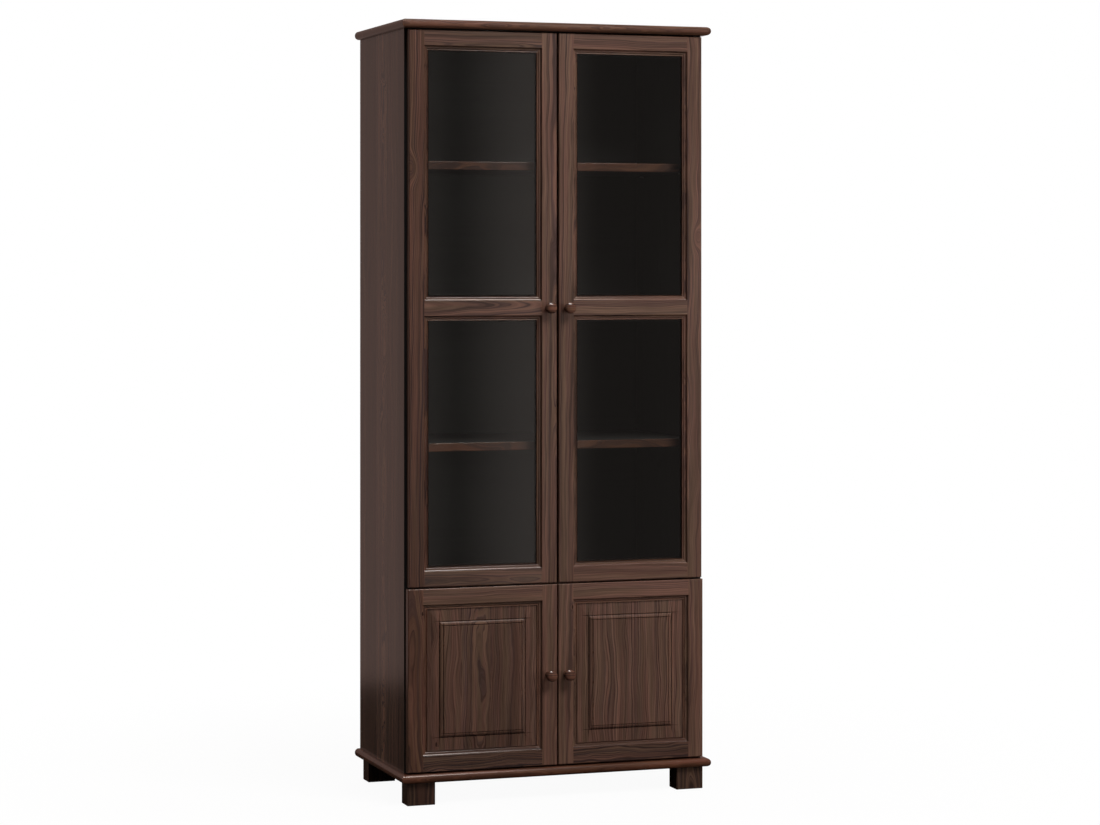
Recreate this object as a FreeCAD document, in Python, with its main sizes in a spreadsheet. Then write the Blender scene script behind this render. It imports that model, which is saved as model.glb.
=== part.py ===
import FreeCAD, Part
import os
import re
import Sketcher

# Free-standing bookcase in stained pine, with a glazed pair of doors over a panelled pair.
# Millimetres, +Z up. The doors face -Y, and the origin is on the floor under the middle.

Vector = FreeCAD.Vector

# Driving sizes
SIZES = {
    # carcass
    "carcass_width": 772,
    "carcass_depth": 400,
    "side_height": 1803,
    "side_thickness": 21,
    "side_edge_radius": 1.5,
    "board_thickness": 21,
    "board_side_overhang": 14,
    "board_front_overhang": 36,
    "board_nose_radius": 10,
    "back_thickness": 5,
    "back_rebate": 10,
    # shelves
    "shelf_thickness": 21,
    "shelf_setback": 20,
    "shelf_end_clearance": 0.5,
    "shelf_edge_radius": 2,
    "lower_shelf_rise": 315.5,
    "shelf_pitch": 343.75,
    "shelf_pin_radius": 2.5,
    "shelf_pin_in_side": 11,
    "shelf_pin_reach": 9,
    "shelf_pin_inset": 50,
    # feet
    "foot_width": 70,
    "foot_depth": 50,
    "foot_height": 55,
    "foot_edge_radius": 1.5,
    "foot_side_inset": 16.5,
    "foot_front_inset": 15,
    "foot_rear_inset": 20,
    # dowels
    "dowel_radius": 4,
    "dowel_in_face": 13,
    "dowel_in_end": 19,
    "dowel_inset": 45,
    "foot_dowel_spacing": 34,
    # doors
    "door_thickness": 20,
    "door_gap": 3,
    "door_margin": 4,
    "door_edge_radius": 2.5,
    "lower_door_height": 443,
    "upper_door_inset": 6,
    "lower_door_inset": 3,
    "upper_meeting_gap": 5,
    "lower_meeting_gap": 3,
    "stile_face": 38.5,
    "upper_rail_face": 37,
    "middle_rail_face": 36,
    "lower_rail_face": 38.5,
    # moulding on the inner edges of the door frames
    "sticking_step": 1,
    "ovolo_radius": 5,
    "sticking_ledge": 1.5,
    "bead_width": 5,
    "bead_radius": 2.6,
    # tenons of the rails
    "tenon_floor": 27,
    "tenon_end_gap": 0.5,
    "tenon_shoulder": 8,
    "glazed_tenon_front": 11,
    "glazed_tenon_thickness": 6,
    # glazing
    "glass_lip": 10,
    "glass_rebate": 8.5,
    "glass_thickness": 4,
    "glass_clearance": 1,
    "glazing_bead_width": 12,
    "glazing_bead_round": 4,
    # raised panels
    "groove_front": 9,
    "groove_width": 6,
    "groove_depth": 8.5,
    "panel_clearance": 1.5,
    "panel_border": 30,
    "panel_border_rise": 2.5,
    "field_step": 1,
    "field_quirk_width": 1.8,
    "field_quirk_depth": 1.6,
    "field_ovolo_width": 8,
    "field_ovolo_rise": 4,
    # knobs and their screws
    "knob_reach": 34,
    "knob_edge_distance": 22,
    "knob_head_radius": 14,
    "knob_head_half": 9.5,
    "knob_rim_radius": 8,
    "knob_collar_radius": 9,
    "knob_collar_height": 3,
    "knob_neck_curve": 40,
    "knob_screw_radius": 2,
    "knob_screw_in_knob": 15,
    "knob_screw_head_radius": 4,
    "knob_screw_head_height": 2.4,
    # hinges
    "upper_hinge_inset": 110,
    "middle_hinge_offset": 130,
    "lower_hinge_inset": 80,
    "pin_edge_distance": 8,
    "pin_depth": 8,
    "pin_radius": 2,
    "pin_running_clearance": 0.05,
    "cup_edge_distance": 3,
    "cup_radius": 17.5,
    "cup_depth": 13,
    "cup_wall": 1,
    "flange_thickness": 1,
    "flange_width": 26,
    "flange_edge_share": 0.33,
    "flange_height": 58,
    "flange_corner": 6,
    "press_peg_radius": 4,
    "press_peg_length": 11,
    "press_peg_offset": 9.5,
    "press_peg_spacing": 45,
    "ear_thickness": 2.5,
    "ear_half_width": 3.5,
    "knuckle_radius": 3,
    "arm_height": 10,
    "arm_side_clearance": 0.3,
    "arm_thickness": 3,
    "arm_offset": 15,
    "arm_reach": 66,
    "arm_bend_radius": 4,
    "plate_length": 44,
    "plate_height": 14,
    "plate_line": 37,
    "plate_wing_thickness": 3,
    "plate_wing_width": 14,
    "plate_wing_radius": 7.2,
    "plate_screw_spacing": 32,
    "plate_screw_radius": 2,
    "plate_screw_length": 14,
    "plate_screw_head_radius": 3.5,
    "plate_screw_head_height": 2,
    # every cut runs this far past the face that it opens
    "cut_overrun": 5,
}

# Places and sizes that follow from the driving sizes
PLACES = {
    "front_line": "(door_gap + door_thickness + knob_reach - carcass_depth) / 2",
    "back_line": "front_line + carcass_depth",
    "door_back": "front_line - door_gap",
    "door_front": "door_back - door_thickness",
    "half_width": "carcass_width / 2",
    "inner_half": "half_width - side_thickness",
    "base_top": "foot_height + board_thickness",
    "top_under": "base_top + side_height",
    "board_half": "half_width + board_side_overhang",
    "board_front": "front_line - board_front_overhang",
    "lower_door_base": "base_top + door_margin",
    "lower_door_top": "lower_door_base + lower_door_height",
    "upper_door_base": "lower_door_top + door_margin",
    "upper_door_top": "top_under - door_margin",
    "upper_door_height": "upper_door_top - upper_door_base",
    "upper_door_left": "upper_door_inset - half_width",
    "lower_door_left": "lower_door_inset - half_width",
    "upper_door_width": "half_width - upper_door_inset - upper_meeting_gap / 2",
    "lower_door_width": "half_width - lower_door_inset - lower_meeting_gap / 2",
    "upper_door_middle": "(upper_door_base + upper_door_top) / 2",
    "lower_door_middle": "(lower_door_base + lower_door_top) / 2",
    "fixed_shelf_base": "lower_door_top + door_margin / 2 - shelf_thickness / 2",
    "lower_shelf_base": "fixed_shelf_base + shelf_thickness + lower_shelf_rise",
    "middle_shelf_base": "lower_shelf_base + shelf_pitch",
    "upper_shelf_base": "middle_shelf_base + shelf_pitch",
    "back_inside": "back_line - back_thickness",
    "sticking_width": "ovolo_radius + sticking_ledge + bead_width",
    "sticking_depth": "sticking_step + ovolo_radius",
    "frame_edge": "stile_face + sticking_width",
    "glass_edge": "frame_edge - glass_rebate",
    "upper_rail_edge": "upper_rail_face + sticking_width",
    "upper_rail_back": "upper_rail_edge - glass_rebate",
    "middle_rail_edge": "middle_rail_face + 2 * sticking_width",
    "lower_rail_edge": "lower_rail_face + sticking_width",
    "groove_floor": "frame_edge - groove_depth",
    "panel_margin": "groove_depth - panel_clearance",
    "panel_width": "lower_door_width - 2 * (groove_floor + panel_clearance)",
    "panel_height": "lower_door_height - 2 * (lower_rail_edge - panel_margin)",
    "field_ovolo_radius": "(field_ovolo_width ^ 2 + field_ovolo_rise ^ 2) / (2 * field_ovolo_rise)",
    "cup_centre": "cup_edge_distance + cup_radius - pin_edge_distance",
    "ear_inside": "arm_height / 2 + arm_side_clearance",
    "pin_length": "2 * (ear_inside + ear_thickness)",
    "upper_pin_x": "upper_door_left + pin_edge_distance",
    "lower_pin_x": "lower_door_left + pin_edge_distance",
    "pin_y": "door_back - pin_depth",
    "upper_plate_thickness": "upper_pin_x + arm_offset + inner_half",
    "lower_plate_thickness": "lower_pin_x + arm_offset + inner_half",
    "knob_crown": "((knob_head_radius - knob_rim_radius) ^ 2 + knob_head_half ^ 2 - knob_rim_radius ^ 2)"
                  " / (2 * (knob_head_half - knob_rim_radius))",
    "knob_widest": "knob_reach - knob_head_half",
    "knob_neck": "knob_head_radius - knob_rim_radius",
}

HINGES = {
    "upper": ["upper_door_base + upper_hinge_inset", "upper_door_middle + middle_hinge_offset",
              "upper_door_top - upper_hinge_inset"],
    "lower": ["lower_door_base + lower_hinge_inset", "lower_door_top - lower_hinge_inset"],
}

doc = FreeCAD.newDocument("Bookcase")
OWNER = {}


def fill_sheet(sheet_name, rows):
    """Write one named value to a row: its name, and its number or formula under that alias."""
    sheet = doc.addObject("Spreadsheet::Sheet", sheet_name)
    for row, (name, value) in enumerate(rows.items(), 1):
        sheet.set(f"A{row}", name)
        sheet.setAlias(f"B{row}", name)
        OWNER[name] = sheet_name
        sheet.set(f"B{row}", f"={full(value)}" if isinstance(value, str) else str(value))
    doc.recompute()
    return sheet


def full(expression):
    """Put the sheet's name before each size or place that the expression names."""
    return re.sub(r"[a-z_]+", lambda word: f"{OWNER[word[0]]}.{word[0]}" if word[0] in OWNER else word[0],
                  expression)


sizes = fill_sheet("Sizes", SIZES)
places = fill_sheet("Places", PLACES)


# Building blocks

def number(expression):
    return float(places.evalExpression(full(expression)))


def bind(thing, **properties):
    """Tie properties to expressions of named sizes."""
    for name, expression in properties.items():
        thing.setExpression(name, full(expression))


def place(thing, x="0", y="0", z="0", axis=(0, 0, 1), angle=0):
    """Turn the thing about an axis through its own origin, then stand that origin at x, y, z."""
    thing.Placement = FreeCAD.Placement(Vector(), FreeCAD.Rotation(Vector(*axis), angle))
    for letter, expression in zip("xyz", (x, y, z)):
        thing.setExpression(f"Placement.Base.{letter}", full(expression))
    return thing


def new_box(name, length, width, height, x, y, z):
    box = doc.addObject("Part::Box", name)
    bind(box, Length=length, Width=width, Height=height)
    return place(box, x, y, z)


def new_rod(name, radius, length, x, y, z, along_x=False):
    """A round rod that runs up from its place, or towards +X."""
    rod = doc.addObject("Part::Cylinder", name)
    bind(rod, Radius=radius, Height=length)
    return place(rod, x, y, z, (0, 1, 0), 90 if along_x else 0)


def new_body(name):
    return doc.addObject("PartDesign::Body", name)


def new_sketch(body, plane, offset=None):
    """A sketch on one of the body's own planes, or a named distance along that plane's normal."""
    sketch = body.newObject("Sketcher::SketchObject", body.Name + "_sketch")
    support = [feature for feature in body.Origin.OriginFeatures if feature.Role == plane][0]
    sketch.AttachmentSupport = [(support, "")]
    sketch.MapMode = "FlatFace"
    if offset:
        sketch.setExpression("AttachmentOffset.Base.z", full(offset))
    return sketch


def tie(sketch, constraint, expression):
    index = sketch.addConstraint(constraint)
    sketch.setExpression(f"Constraints[{index}]", full(expression))


def fix_point(sketch, geometry, end, x, y):
    """Hold a point at named distances from the sketch's axes."""
    for kind, axis, expression in (("DistanceX", -2, x), ("DistanceY", -1, y)):
        if expression == "0":
            sketch.addConstraint(Sketcher.Constraint("PointOnObject", geometry, end, axis))
        else:
            tie(sketch, Sketcher.Constraint(kind, -1, 1, geometry, end, number(expression)), expression)


def bulging_arc(start, finish, radius, side):
    """The short arc from start to finish that bulges to the left (1) or right (-1) of the way there."""
    chord = finish - start
    out = Vector(-chord.y, chord.x, 0).normalize() * side
    rise = radius - max(radius ** 2 - chord.Length ** 2 / 4, 0) ** 0.5
    return Part.Arc(start, (start + finish) / 2 + out * rise, finish)


def draw_outline(sketch, corners, arcs={}):
    """Close a loop through the corners. arcs gives a radius and a side for the edges that are round."""
    points = [Vector(number(x), number(y), 0) for x, y in corners]
    ends = []
    for i, start in enumerate(points):
        finish = points[(i + 1) % len(points)]
        if i in arcs:
            radius, side = arcs[i]
            edge = sketch.addGeometry(bulging_arc(start, finish, number(radius), side))
            forward = sketch.getPoint(edge, 1).isEqual(start, 1e-6)
            ends.append((edge, 1, 2) if forward else (edge, 2, 1))
        else:
            edge = sketch.addGeometry(Part.LineSegment(start, finish))
            ends.append((edge, 1, 2))
    for i, (edge, first, last) in enumerate(ends):
        following, its_first, _ = ends[(i + 1) % len(ends)]
        sketch.addConstraint(Sketcher.Constraint("Coincident", edge, last, following, its_first))
        fix_point(sketch, edge, first, *corners[i])
        if i in arcs:
            radius = arcs[i][0]
            tie(sketch, Sketcher.Constraint("Radius", edge, number(radius)), radius)
    return sketch


def draw_rectangle(sketch, left, low, right, high):
    return draw_outline(sketch, [(left, low), (right, low), (right, high), (left, high)])


def draw_circle(sketch, x, y, radius):
    circle = Part.Circle(Vector(number(x), number(y), 0), Vector(0, 0, 1), number(radius))
    edge = sketch.addGeometry(circle)
    fix_point(sketch, edge, 3, x, y)
    tie(sketch, Sketcher.Constraint("Radius", edge, number(radius)), radius)
    return sketch


def pad(body, sketch, length, reverse=False):
    feature = body.newObject("PartDesign::Pad", body.Name + "_pad")
    feature.Profile = sketch
    feature.Reversed = reverse
    bind(feature, Length=length)
    doc.recompute()
    return feature


def pocket(body, sketch, length, reverse=False):
    """Cut the sketch's loops into the body, and make sure that they met it."""
    before = body.Shape.Volume
    feature = body.newObject("PartDesign::Pocket", body.Name + "_pocket")
    feature.Profile = sketch
    feature.Reversed = reverse
    bind(feature, Length=length)
    doc.recompute()
    if body.Shape.Volume >= before:
        raise RuntimeError(f"{feature.Name} cuts nothing")
    return feature


def spin(body, sketch):
    """Turn the sketch round its own upright axis."""
    feature = body.newObject("PartDesign::Revolution", body.Name + "_turned")
    feature.Profile = sketch
    feature.ReferenceAxis = (sketch, ["V_Axis"])
    feature.Angle = 360
    doc.recompute()
    return feature


def round_edges(body, feature, radius, wanted):
    """Fillet the edges of the feature whose box passes the test."""
    names = [f"Edge{i}" for i, edge in enumerate(feature.Shape.Edges, 1) if wanted(edge.BoundBox)]
    fillet = body.newObject("PartDesign::Fillet", body.Name + "_round")
    fillet.Base = (feature, names)
    bind(fillet, Radius=radius)
    doc.recompute()
    return fillet


def near(first, second):
    return abs(first - second) < 1e-4


def group(name, members):
    compound = doc.addObject("Part::Compound", name)
    compound.Links = members
    return compound


def cut(name, base, tool):
    result = doc.addObject("Part::Cut", name)
    result.Base = base
    result.Tool = tool
    return result


def copy_to(master, name, x, y, z, axis=(0, 0, 1), angle=0):
    link = doc.addObject("App::Link", name)
    link.LinkedObject = master
    return place(link, x, y, z, axis, angle)


nodes = {}


def node(label, thing):
    """Take a finished sub-part by the name that its file carries."""
    thing.Label = label
    nodes[label] = thing
    return thing


def mirror(name, thing):
    """The same piece on the other side of the bookcase."""
    twin = doc.addObject("Part::Mirroring", name)
    twin.Source = thing
    twin.Normal = Vector(1, 0, 0)
    return twin


def both_sides(label, thing):
    """Keep a left piece and its right twin. The label holds {} for the side's name."""
    node(label.format("left"), thing)
    node(label.format("right"), mirror(label.format("right"), thing))
    return thing


# Dowels and shelf pins of the left half. They also cut the holes that they sit in.

def side_dowels():
    """Upright dowels from the side's ends into the boards, and level ones into the fixed shelf."""
    depths = ["front_line + dowel_inset", "(front_line + back_line) / 2", "back_line - dowel_inset"]
    dowels = []
    for y in depths:
        middle = "side_thickness / 2 - half_width"
        length = "dowel_in_face + dowel_in_end"
        dowels.append(new_rod("top_dowel", "dowel_radius", length, middle, y, "top_under - dowel_in_end"))
        dowels.append(new_rod("base_dowel", "dowel_radius", length, middle, y, "base_top - dowel_in_face"))
        dowels.append(new_rod("shelf_dowel", "dowel_radius", length, "-inner_half - dowel_in_face", y,
                              "fixed_shelf_base + shelf_thickness / 2", along_x=True))
    return dowels


FOOT_X = "foot_side_inset - board_half"
FOOT_Y = {"front": "board_front + foot_front_inset", "rear": "back_line - foot_rear_inset - foot_depth"}


def foot_dowels():
    dowels = []
    for y in FOOT_Y.values():
        for side in ("-", "+"):
            x = f"{FOOT_X} + foot_width / 2 {side} foot_dowel_spacing / 2"
            dowels.append(new_rod("foot_dowel", "dowel_radius", "dowel_in_face + dowel_in_end", x,
                                  f"{y} + foot_depth / 2", "foot_height - dowel_in_end"))
    return dowels


def shelf_pins():
    pins = []
    for shelf in ("lower", "middle", "upper"):
        for y in ("front_line + shelf_setback + shelf_pin_inset", "back_inside - shelf_pin_inset"):
            pins.append(new_rod("shelf_pin", "shelf_pin_radius", "shelf_pin_in_side + shelf_pin_reach",
                                "-inner_half - shelf_pin_in_side", y,
                                f"{shelf}_shelf_base - shelf_pin_radius", along_x=True))
    return pins


# Hinges. Each is made once about its pin, and copied to its heights on the left doors.

def hinge_cup():
    """A drawn cup that is pressed into the stile. Its own +Z points out of the door's back."""
    body = new_body("hinge_cup")
    floor = "pin_depth - cup_depth"
    pad(body, draw_circle(new_sketch(body, "XY_Plane", floor), "cup_centre", "0", "cup_radius"), "cup_depth")
    flange = new_sketch(body, "XY_Plane", "pin_depth")
    left = "cup_centre - flange_width * flange_edge_share"
    draw_rectangle(flange, left, "-flange_height / 2", f"{left} + flange_width", "flange_height / 2")
    plate = pad(body, flange, "flange_thickness")
    corner = number("flange_height") / 2
    plate = round_edges(body, plate, "flange_corner",
                        lambda box: near(abs(box.YMin), corner) and near(box.YLength, 0) and box.ZLength > 0
                        and near(box.XLength, 0))
    inside = new_sketch(body, "XY_Plane", f"{floor} + cup_wall")
    draw_circle(inside, "cup_centre", "0", "cup_radius - cup_wall")
    pocket(body, inside, "cup_depth + flange_thickness", reverse=True)
    pegs = new_sketch(body, "XY_Plane", "pin_depth")
    for side in ("-", ""):
        draw_circle(pegs, "cup_centre + press_peg_offset", f"{side}press_peg_spacing / 2", "press_peg_radius")
    pad(body, pegs, "press_peg_length", reverse=True)
    ears = new_sketch(body, "XY_Plane", f"{floor} + cup_wall / 2")
    for low, high in (("ear_inside", "ear_inside + ear_thickness"),
                      ("-ear_inside - ear_thickness", "-ear_inside")):
        draw_rectangle(ears, "-ear_half_width", low, "ear_half_width", high)
    pad(body, ears, "cup_depth - pin_depth - cup_wall / 2 + ear_half_width")
    bore = new_sketch(body, "XZ_Plane", "-pin_length / 2")
    draw_circle(bore, "0", "0", "pin_radius + pin_running_clearance")
    pocket(body, bore, "pin_length", reverse=True)
    return body


def hinge_arm():
    """A bent arm from the pin, out of the cup's mouth and back along the side panel."""
    body = new_body("hinge_arm")
    low = "-arm_height / 2"
    outline = new_sketch(body, "XY_Plane", low)
    outer = "arm_offset + arm_thickness"
    draw_outline(outline, [("0", "-arm_thickness / 2"), (outer, "-arm_thickness / 2"), (outer, "arm_reach"),
                           ("arm_offset", "arm_reach"), ("arm_offset", "arm_thickness / 2"),
                           ("0", "arm_thickness / 2")])
    bar = pad(body, outline, "arm_height")
    bend = number(outer)
    bar = round_edges(body, bar, "arm_bend_radius",
                      lambda box: near(box.XMin, bend) and near(box.YLength, 0) and box.YMin < 0
                      and near(box.XLength, 0))
    pad(body, draw_circle(new_sketch(body, "XY_Plane", low), "0", "0", "knuckle_radius"), "arm_height")
    eye = draw_circle(new_sketch(body, "XY_Plane", low), "0", "0", "pin_radius")
    pocket(body, eye, "arm_height", reverse=True)
    return body


def plate_screw():
    """A countersunk screw that points down from the top of its head."""
    body = new_body("plate_screw")
    outline = new_sketch(body, "XY_Plane")
    draw_outline(outline, [("0", "0"), ("plate_screw_head_radius", "0"),
                           ("plate_screw_radius", "-plate_screw_head_height"),
                           ("plate_screw_radius", "-plate_screw_length"), ("0", "-plate_screw_length")])
    spin(body, outline)
    return body


def hinge_plate(doors):
    """A mounting plate with two wings. Its own +X points into the cabinet, from the side panel."""
    body = new_body(f"{doors}_hinge_plate")
    rail = new_sketch(body, "XY_Plane", "-plate_height / 2")
    draw_rectangle(rail, "0", "-plate_length / 2", f"{doors}_plate_thickness", "plate_length / 2")
    pad(body, rail, "plate_height")
    wings = new_sketch(body, "YZ_Plane")
    half, top = "plate_wing_width / 2", "plate_screw_spacing / 2"
    corners = [(f"-{half}", f"-{top}"), (half, f"-{top}"), (half, top), (f"-{half}", top)]
    draw_outline(wings, corners, {0: ("plate_wing_radius", -1), 2: ("plate_wing_radius", -1)})
    pad(body, wings, "plate_wing_thickness")
    return body


def hinges():
    """Cups for each pair of doors, and the arms, pins, plates and screws that stay on the carcass."""
    cup = hinge_cup()
    arm = hinge_arm()
    screw = plate_screw()
    fixed = {"hinge_arms": [], "hinge_pins": [], "hinge_plates": [], "hinge_plate_screws": []}
    cups = {}
    for doors, heights in HINGES.items():
        plate = hinge_plate(doors)
        pin_x = f"{doors}_pin_x"
        cups[doors] = []
        for z in heights:
            cups[doors].append(copy_to(cup, "cup", pin_x, "pin_y", z, (1, 0, 0), -90))
            fixed["hinge_arms"].append(copy_to(arm, "arm", pin_x, "pin_y", z))
            fixed["hinge_pins"].append(new_rod("pin", "pin_radius", "pin_length", pin_x, "pin_y",
                                               f"{z} - pin_length / 2"))
            screws = [copy_to(screw, "screw", "plate_wing_thickness - inner_half", "front_line + plate_line",
                              f"{z} {side} plate_screw_spacing / 2", (0, 0, 1), -90) for side in "-+"]
            fixed["hinge_plate_screws"] += screws
            blank = copy_to(plate, "plate", "-inner_half", "front_line + plate_line", z)
            fixed["hinge_plates"].append(cut("drilled_plate", blank, group("plate_holes", screws)))
    return cups, fixed


# Carcass

def board(name, base):
    """A flat board that overhangs, with a bull nose on its front and ends."""
    body = new_body(name)
    outline = new_sketch(body, "XY_Plane")
    draw_rectangle(outline, "-board_half", "board_front", "board_half", "back_line")
    slab = pad(body, outline, "board_thickness")
    back = number("back_line")
    round_edges(body, slab, "board_nose_radius",
                lambda box: near(box.ZLength, 0) and not near(box.YMin, back))
    return place(body, z=base)


def side_panel():
    """The left side, rebated behind for the back panel."""
    body = new_body("side_blank")
    inside = "side_thickness"
    outline = new_sketch(body, "XY_Plane")
    draw_outline(outline, [("0", "0"), (inside, "0"), (inside, "carcass_depth - back_thickness"),
                           (f"{inside} - back_rebate", "carcass_depth - back_thickness"),
                           (f"{inside} - back_rebate", "carcass_depth"), ("0", "carcass_depth")])
    slab = pad(body, outline, "side_height")
    round_edges(body, slab, "side_edge_radius",
                lambda box: near(box.YMax, 0) and box.ZLength > 0 and near(box.XLength, 0))
    return place(body, "-half_width", "front_line", "base_top")


def shelf(name, base, setback, clearance):
    body = new_body(name)
    half = f"inner_half - {clearance}"
    outline = new_sketch(body, "XY_Plane")
    draw_rectangle(outline, f"-({half})", f"front_line + {setback}", half, "back_inside")
    slab = pad(body, outline, "shelf_thickness")
    front = number(f"front_line + {setback}")
    round_edges(body, slab, "shelf_edge_radius",
                lambda box: near(box.YMax, front) and box.XLength > 0 and near(box.ZLength, 0))
    return place(body, z=base)


def foot(name, y):
    """A plain block with eased edges."""
    body = new_body(name)
    outline = new_sketch(body, "XY_Plane")
    draw_rectangle(outline, "0", "0", "foot_width", "foot_depth")
    block = pad(body, outline, "foot_height")
    top = number("foot_height")
    round_edges(body, block, "foot_edge_radius", lambda box: not near(box.ZMin, top))
    return place(body, FOOT_X, y, "0")


def carcass(fixed_hinges):
    in_sides = side_dowels()
    in_feet = foot_dowels()
    pins = shelf_pins()
    left_dowels = group("left_dowels", in_sides + in_feet)
    left_pins = group("left_pins", pins)
    all_dowels = node("dowels", group("dowels", [left_dowels, mirror("right_dowels", left_dowels)]))
    node("shelf_pins", group("shelf_pins", [left_pins, mirror("right_pins", left_pins)]))
    for label, pieces in fixed_hinges.items():
        left = group(f"left_{label}", pieces)
        node(label, group(label, [left, mirror(f"right_{label}", left)]))
    side_holes = group("side_holes", in_sides + pins + fixed_hinges["hinge_plate_screws"])
    both_sides("{}_side", cut("left_side", side_panel(), side_holes))
    node("top_board", cut("top_board", board("top_blank", "top_under"), all_dowels))
    node("base_board", cut("base_board", board("base_blank", "foot_height"), all_dowels))
    divider = shelf("fixed_shelf_blank", "fixed_shelf_base", "0", "0")
    node("fixed_shelf", cut("fixed_shelf", divider, all_dowels))
    for name in ("lower", "middle", "upper"):
        node(f"{name}_shelf", shelf(f"{name}_shelf", f"{name}_shelf_base", "shelf_setback",
                                    "shelf_end_clearance"))
    back_half = "inner_half + back_rebate"
    node("back_panel", new_box("back_panel", f"2 * ({back_half})", "back_thickness", "side_height",
                               f"-({back_half})", "back_inside", "base_top"))
    foot_holes = group("foot_holes", in_feet)
    for name, y in FOOT_Y.items():
        both_sides(name + "_{}_foot", cut(f"{name}_left_foot", foot(f"{name}_foot_blank", y), foot_holes))


# Door frames

def sticking(face):
    """The moulded edge beyond a flat face: a step, an ovolo, a ledge and a bead, as (across, depth)."""
    ledge = f"{face} + ovolo_radius"
    points = [(face, "0"), (face, "sticking_step"), (ledge, "sticking_depth"),
              (f"{ledge} + sticking_ledge", "sticking_depth"), (f"{face} + sticking_width", "sticking_depth")]
    return points, {1: "ovolo_radius", 3: "bead_radius"}


def glass_edge(edge):
    """The back of a glazed member: a lip, then a rebate that is open behind."""
    return [(edge, "glass_lip"), (f"{edge} - glass_rebate", "glass_lip"),
            (f"{edge} - glass_rebate", "door_thickness")]


def panel_edge(edge):
    """The back of a panelled member: a groove in the middle of the edge."""
    floor = f"{edge} - groove_depth"
    behind = "groove_front + groove_width"
    return [(edge, "groove_front"), (floor, "groove_front"), (floor, behind), (edge, behind),
            (edge, "door_thickness")]


def member_outline(face, inner_edge):
    """A stile's or rail's section, from its outer edge: the face, the moulding and the back."""
    front, arcs = sticking(face)
    corners = [("0", "0")] + front + inner_edge(f"{face} + sticking_width") + [("0", "door_thickness")]
    return corners, {i + 1: (radius, 1) for i, radius in arcs.items()}


def middle_outline():
    """The middle rail's section, moulded and rebated on both edges."""
    front, arcs = sticking("sticking_width + middle_rail_face")
    whole = "middle_rail_edge"
    upper = front + glass_edge(whole)
    lower = [(f"{whole} - ({across})", depth) for across, depth in reversed(upper)]
    count = len(upper)
    rounds = {i: (radius, 1) for i, radius in arcs.items()}
    rounds.update({2 * count - 2 - i: (radius, 1) for i, radius in arcs.items()})
    return upper + lower, rounds


MITRE_RUN = "(sticking_width + cut_overrun)"


def stile(name, height, inner_edge, seats, mortises, tenon_front, tenon_thickness):
    """A full-height stile, its moulding mitred off at each rail. Its own +X runs from its outer edge."""
    body = new_body(name)
    outline = new_sketch(body, "XY_Plane")
    draw_outline(outline, *member_outline("stile_face", inner_edge))
    pad(body, outline, height)
    shoulders = new_sketch(body, "XZ_Plane")
    far = f"stile_face + {MITRE_RUN}"
    for near_one, far_one, far_two, near_two in seats:
        draw_outline(shoulders, [("stile_face", near_one), (far, far_one), (far, far_two),
                                 ("stile_face", near_two)])
    pocket(body, shoulders, "door_thickness")
    holes = new_sketch(body, "YZ_Plane", "tenon_floor")
    for low, high in mortises:
        draw_rectangle(holes, tenon_front, low, f"{tenon_front} + {tenon_thickness}", high)
    pocket(body, holes, "stile_face - tenon_floor", reverse=True)
    return body


def mitre(body, length, edge, way):
    """Cut both ends of a moulded edge along the diagonal where it meets the stiles' moulding."""
    ends = new_sketch(body, "XZ_Plane")
    tip = f"{edge} {way} {MITRE_RUN}"
    draw_outline(ends, [("0", edge), (MITRE_RUN, tip), ("0", tip)])
    draw_outline(ends, [(length, edge), (length, tip), (f"{length} - {MITRE_RUN}", tip)])
    pocket(body, ends, "door_thickness")


def rail(name, width, outline, moulded_edges, tenon, tenon_front, tenon_thickness):
    """A rail between the flat faces of the stiles, with a tenon at each end."""
    body = new_body(name)
    corners, arcs = outline
    section = new_sketch(body, "YZ_Plane")
    draw_outline(section, [(depth, across) for across, depth in corners],
                 {i: (radius, -side) for i, (radius, side) in arcs.items()})
    length = f"{width} - 2 * stile_face"
    pad(body, section, length)
    for edge, way in moulded_edges:
        mitre(body, length, edge, way)
    reach = "stile_face - tenon_floor - tenon_end_gap"
    end = new_sketch(body, "YZ_Plane", f"-({reach})")
    low, high = tenon
    draw_rectangle(end, tenon_front, low, f"{tenon_front} + {tenon_thickness}", high)
    pad(body, end, f"{length} + 2 * ({reach})")
    return body


def door_envelope(doors):
    """The whole door as a slab with eased edges, which every outer member is trimmed to."""
    body = new_body(f"{doors}_envelope")
    outline = new_sketch(body, "XY_Plane")
    draw_rectangle(outline, "0", "0", f"{doors}_door_width", "door_thickness")
    slab = pad(body, outline, f"{doors}_door_height")
    round_edges(body, slab, "door_edge_radius", lambda box: near(box.YLength, 0))
    return place(body, f"{doors}_door_left", "door_front", f"{doors}_door_base")


def trim(name, member, envelope):
    result = doc.addObject("Part::Common", name)
    result.Base = member
    result.Tool = envelope
    return result


def bore_for_cups(body, doors):
    """Cup and peg holes in the back of a hinge stile, at each hinge's height."""
    across = "pin_edge_distance + cup_centre"
    cups = new_sketch(body, "XZ_Plane", "cup_depth - door_thickness")
    pegs = new_sketch(body, "XZ_Plane", "press_peg_length - door_thickness")
    for z in HINGES[doors]:
        height = f"{z} - {doors}_door_base"
        draw_circle(cups, across, height, "cup_radius")
        for side in "-+":
            draw_circle(pegs, f"{across} + press_peg_offset", f"{height} {side} press_peg_spacing / 2",
                        "press_peg_radius")
    pocket(body, cups, "cup_depth + cut_overrun")
    pocket(body, pegs, "press_peg_length + cut_overrun")


def bore_for_knob(body, height):
    hole = new_sketch(body, "XZ_Plane")
    draw_circle(hole, "knob_edge_distance", height, "knob_screw_radius")
    pocket(body, hole, "door_thickness")


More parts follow.
